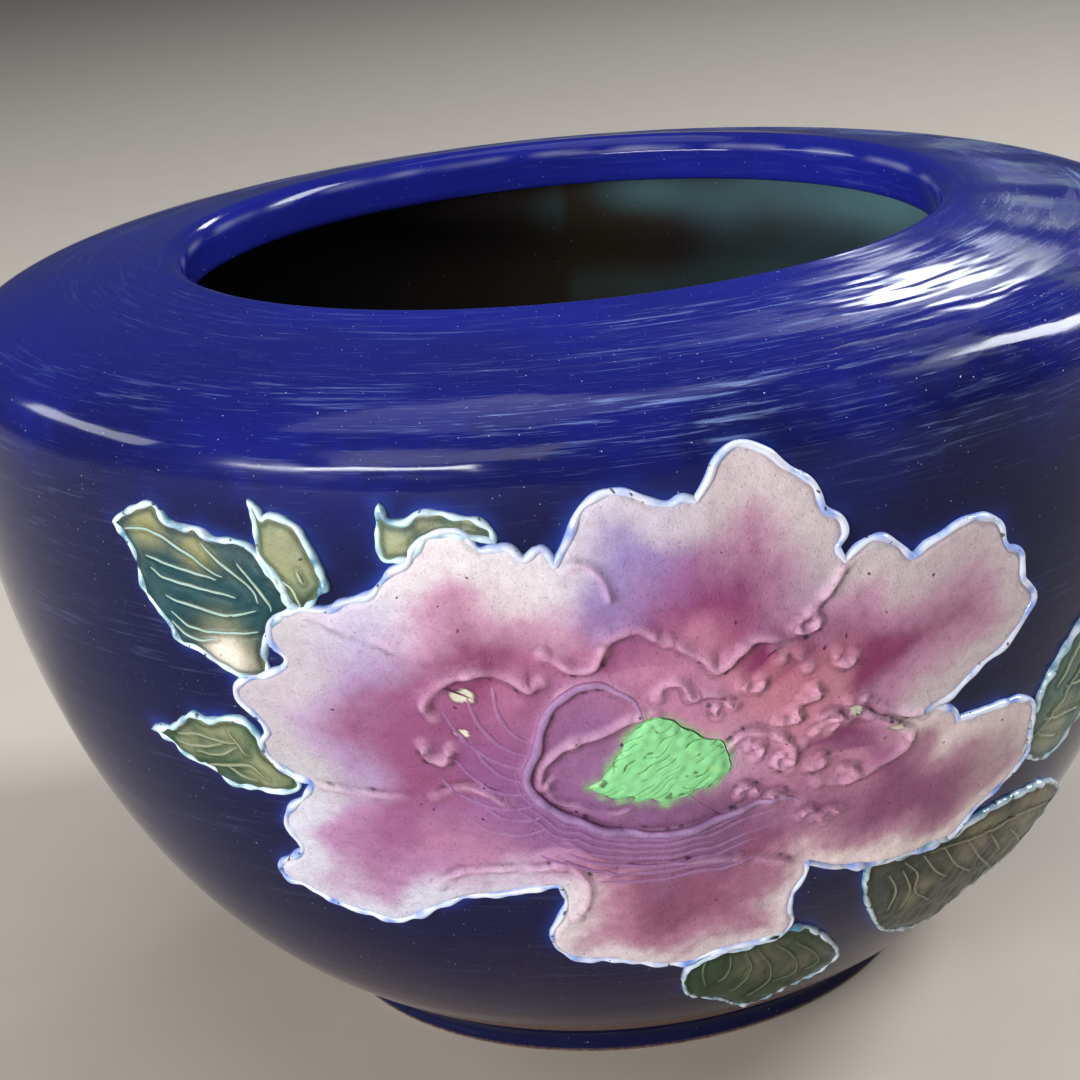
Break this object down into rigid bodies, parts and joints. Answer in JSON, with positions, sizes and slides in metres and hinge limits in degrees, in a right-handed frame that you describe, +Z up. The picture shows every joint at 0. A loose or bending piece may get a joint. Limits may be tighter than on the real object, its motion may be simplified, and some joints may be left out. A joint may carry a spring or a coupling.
{
  "type": "bonsai pot",
  "caption": "Round glazed pot with a rolled-in lip, pierced floor and foot ring, with a peony and leaves in low relief edged by trailed slip.",
  "frame": {"origin": "centre of the foot ring's standing face, on the pot's axis", "axes": "+Z up along the pot's axis, -Y towards the face with the flower, +X to the right of someone facing the flower"},
  "size_m": [0.36, 0.3628, 0.2285],
  "materials": {
    "cobalt_glaze": "deep gloss cobalt, fine scratches and dust",
    "inner_glaze": "dark iron glaze with throwing rings",
    "foot_glaze": "thin dark glaze, bare brown clay on the standing edge",
    "petal_glaze": "satin, cream edge shading to lavender and rose",
    "heart_glaze": "satin, coral to rose",
    "eye_glaze": "satin, combed light green",
    "leaf_glaze": "satin, khaki to deep teal green",
    "bead_slip": "gloss, pale blue over raised slip",
    "thread_slip": "gloss, thin raised slip lines"
  },
  "bodies": {
    "root": {"bowl_wall": "cobalt_glaze", "shoulder": "cobalt_glaze", "lip": "cobalt_glaze", "floor_disc": "inner_glaze", "foot_ring": "foot_glaze", "outer_petal_1": "petal_glaze", "outer_petal_2": "petal_glaze", "outer_petal_3": "petal_glaze", "outer_petal_4": "petal_glaze", "outer_petal_5": "petal_glaze", "outer_petal_6": "petal_glaze", "outer_petal_7": "petal_glaze", "outer_petal_8": "petal_glaze", "petal_bead_1": "bead_slip", "petal_bead_2": "bead_slip", "petal_bead_3": "bead_slip", "petal_bead_4": "bead_slip", "petal_bead_5": "bead_slip", "petal_bead_6": "bead_slip", "petal_bead_7": "bead_slip", "petal_bead_8": "bead_slip", "inner_petal_1": "heart_glaze", "inner_petal_2": "heart_glaze", "inner_petal_3": "heart_glaze", "inner_petal_4": "heart_glaze", "inner_petal_5": "heart_glaze", "inner_petal_6": "heart_glaze", "curl_petal": "heart_glaze", "curl_ridge": "thread_slip", "flower_eye": "eye_glaze", "petal_threads": "thread_slip", "leaf_1": "leaf_glaze", "leaf_2": "leaf_glaze", "leaf_3": "leaf_glaze", "leaf_4": "leaf_glaze", "leaf_5": "leaf_glaze", "leaf_6": "leaf_glaze", "leaf_7": "leaf_glaze", "leaf_bead_1": "bead_slip", "leaf_bead_2": "bead_slip", "leaf_bead_3": "bead_slip", "leaf_bead_4": "bead_slip", "leaf_bead_5": "bead_slip", "leaf_bead_6": "bead_slip", "leaf_bead_7": "bead_slip", "leaf_veins_1": "thread_slip", "leaf_veins_2": "thread_slip", "leaf_veins_4": "thread_slip", "leaf_veins_5": "thread_slip", "leaf_veins_6": "thread_slip", "leaf_veins_7": "thread_slip"}
  },
  "joints": []
}
